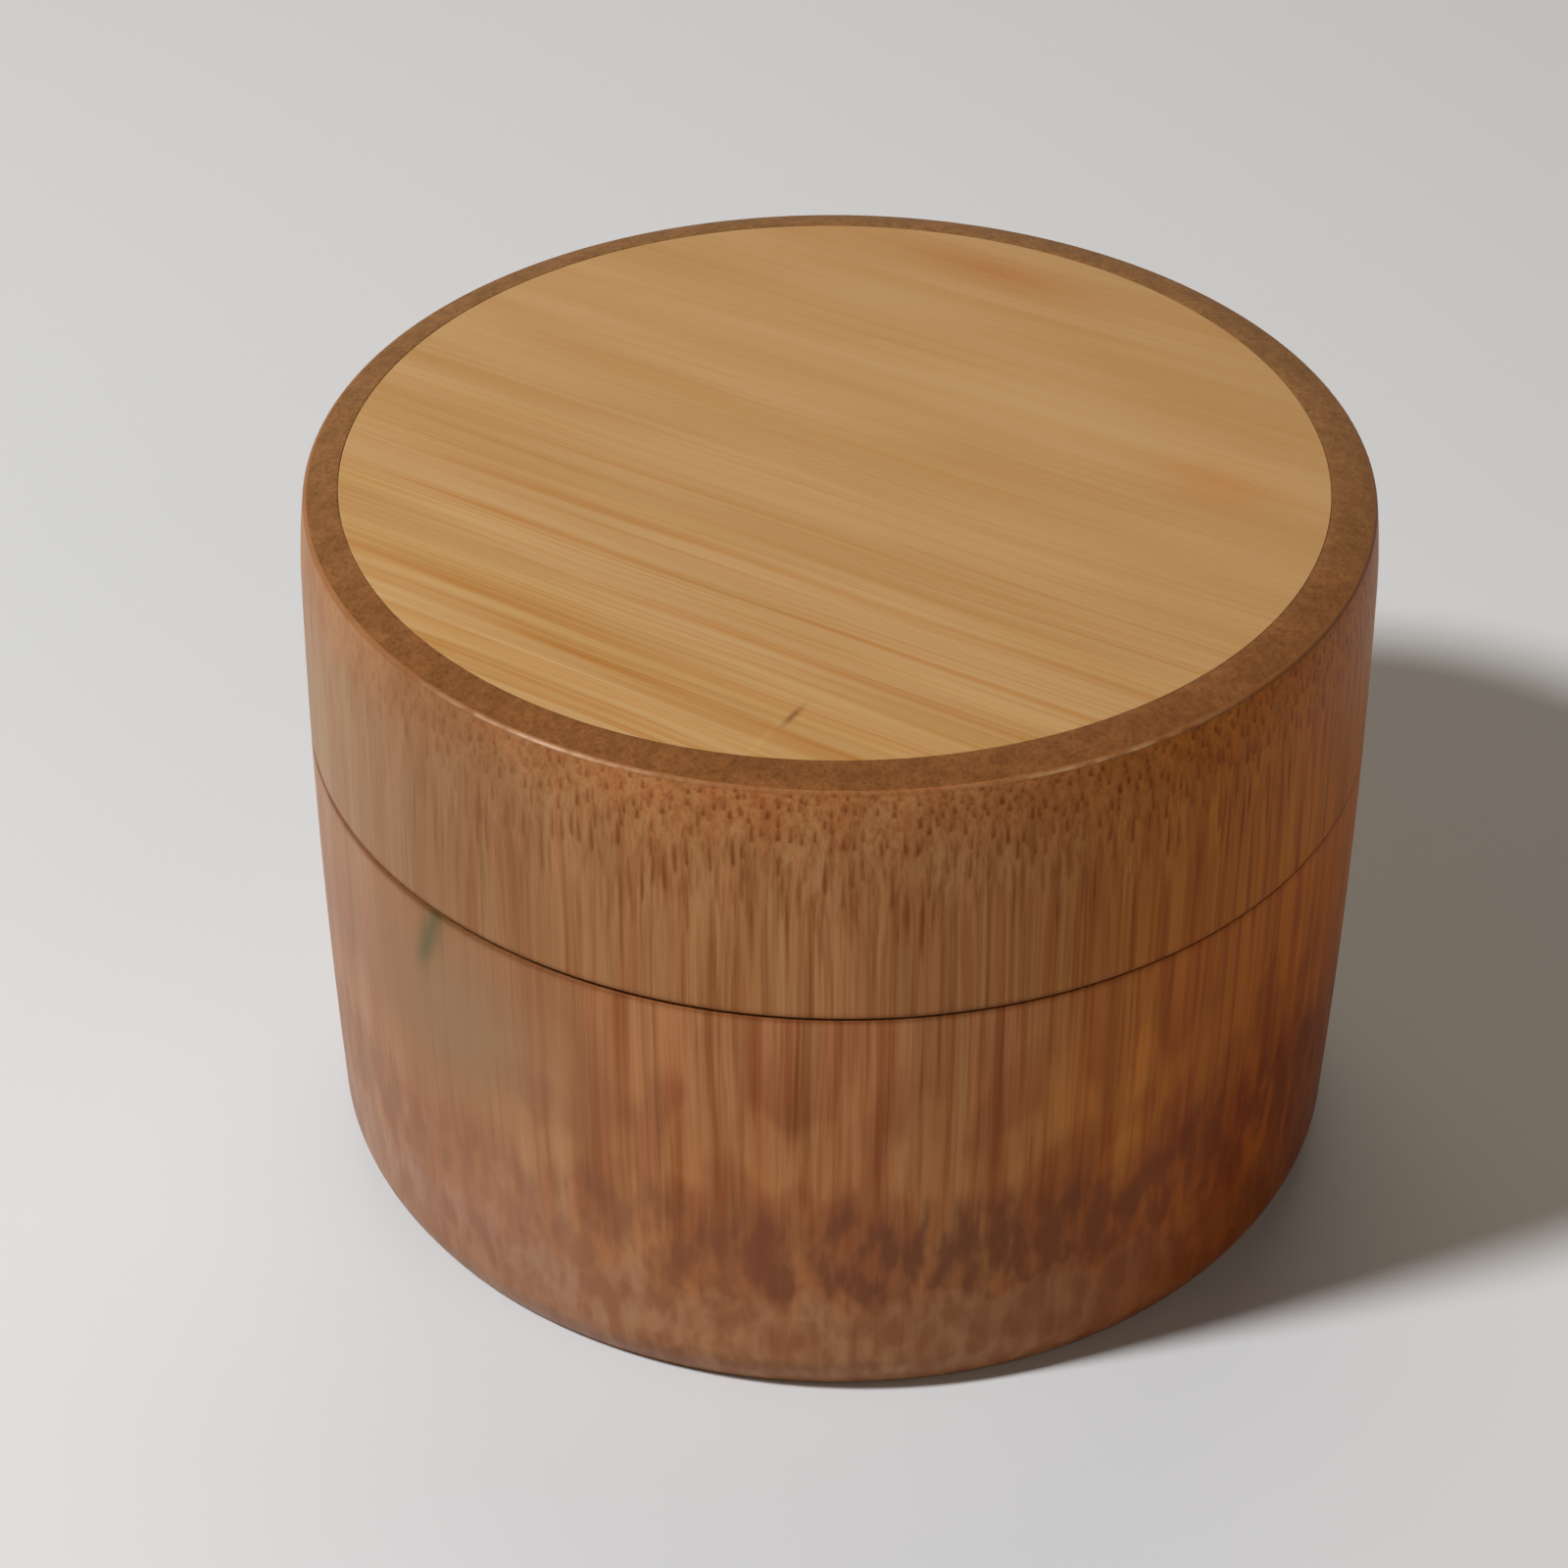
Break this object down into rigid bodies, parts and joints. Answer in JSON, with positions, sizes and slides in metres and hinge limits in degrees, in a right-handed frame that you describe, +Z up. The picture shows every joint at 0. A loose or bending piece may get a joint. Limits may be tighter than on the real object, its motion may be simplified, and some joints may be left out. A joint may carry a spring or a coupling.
{
  "type": "tea canister",
  "caption": "Squat round tea canister turned from thick bamboo culm, with its natural node as floor and a lift-off lid with an inlaid board.",
  "frame": {"origin": "centre of the foot, on the surface that the canister stands on", "axes": "+Z up along the turning axis. The canister is round about Z, and the board in the lid lies 0.45 mm off centre towards -X"},
  "size_m": [0.09, 0.09, 0.0636],
  "materials": {
    "turned_culm": "browned bamboo, turned and oiled to a soft satin",
    "bamboo_board": "honey-coloured bamboo board, sanded, soft satin"
  },
  "bodies": {
    "jar": {"body": "turned_culm"},
    "lid": {"lid_ring": "turned_culm", "lid_panel": "bamboo_board"}
  },
  "joints": [
    {"name": "lid_lift", "type": "slide", "parent": "jar", "child": "lid", "axis": [0, 0, 1], "range_m": [0, 0.04]}
  ]
}
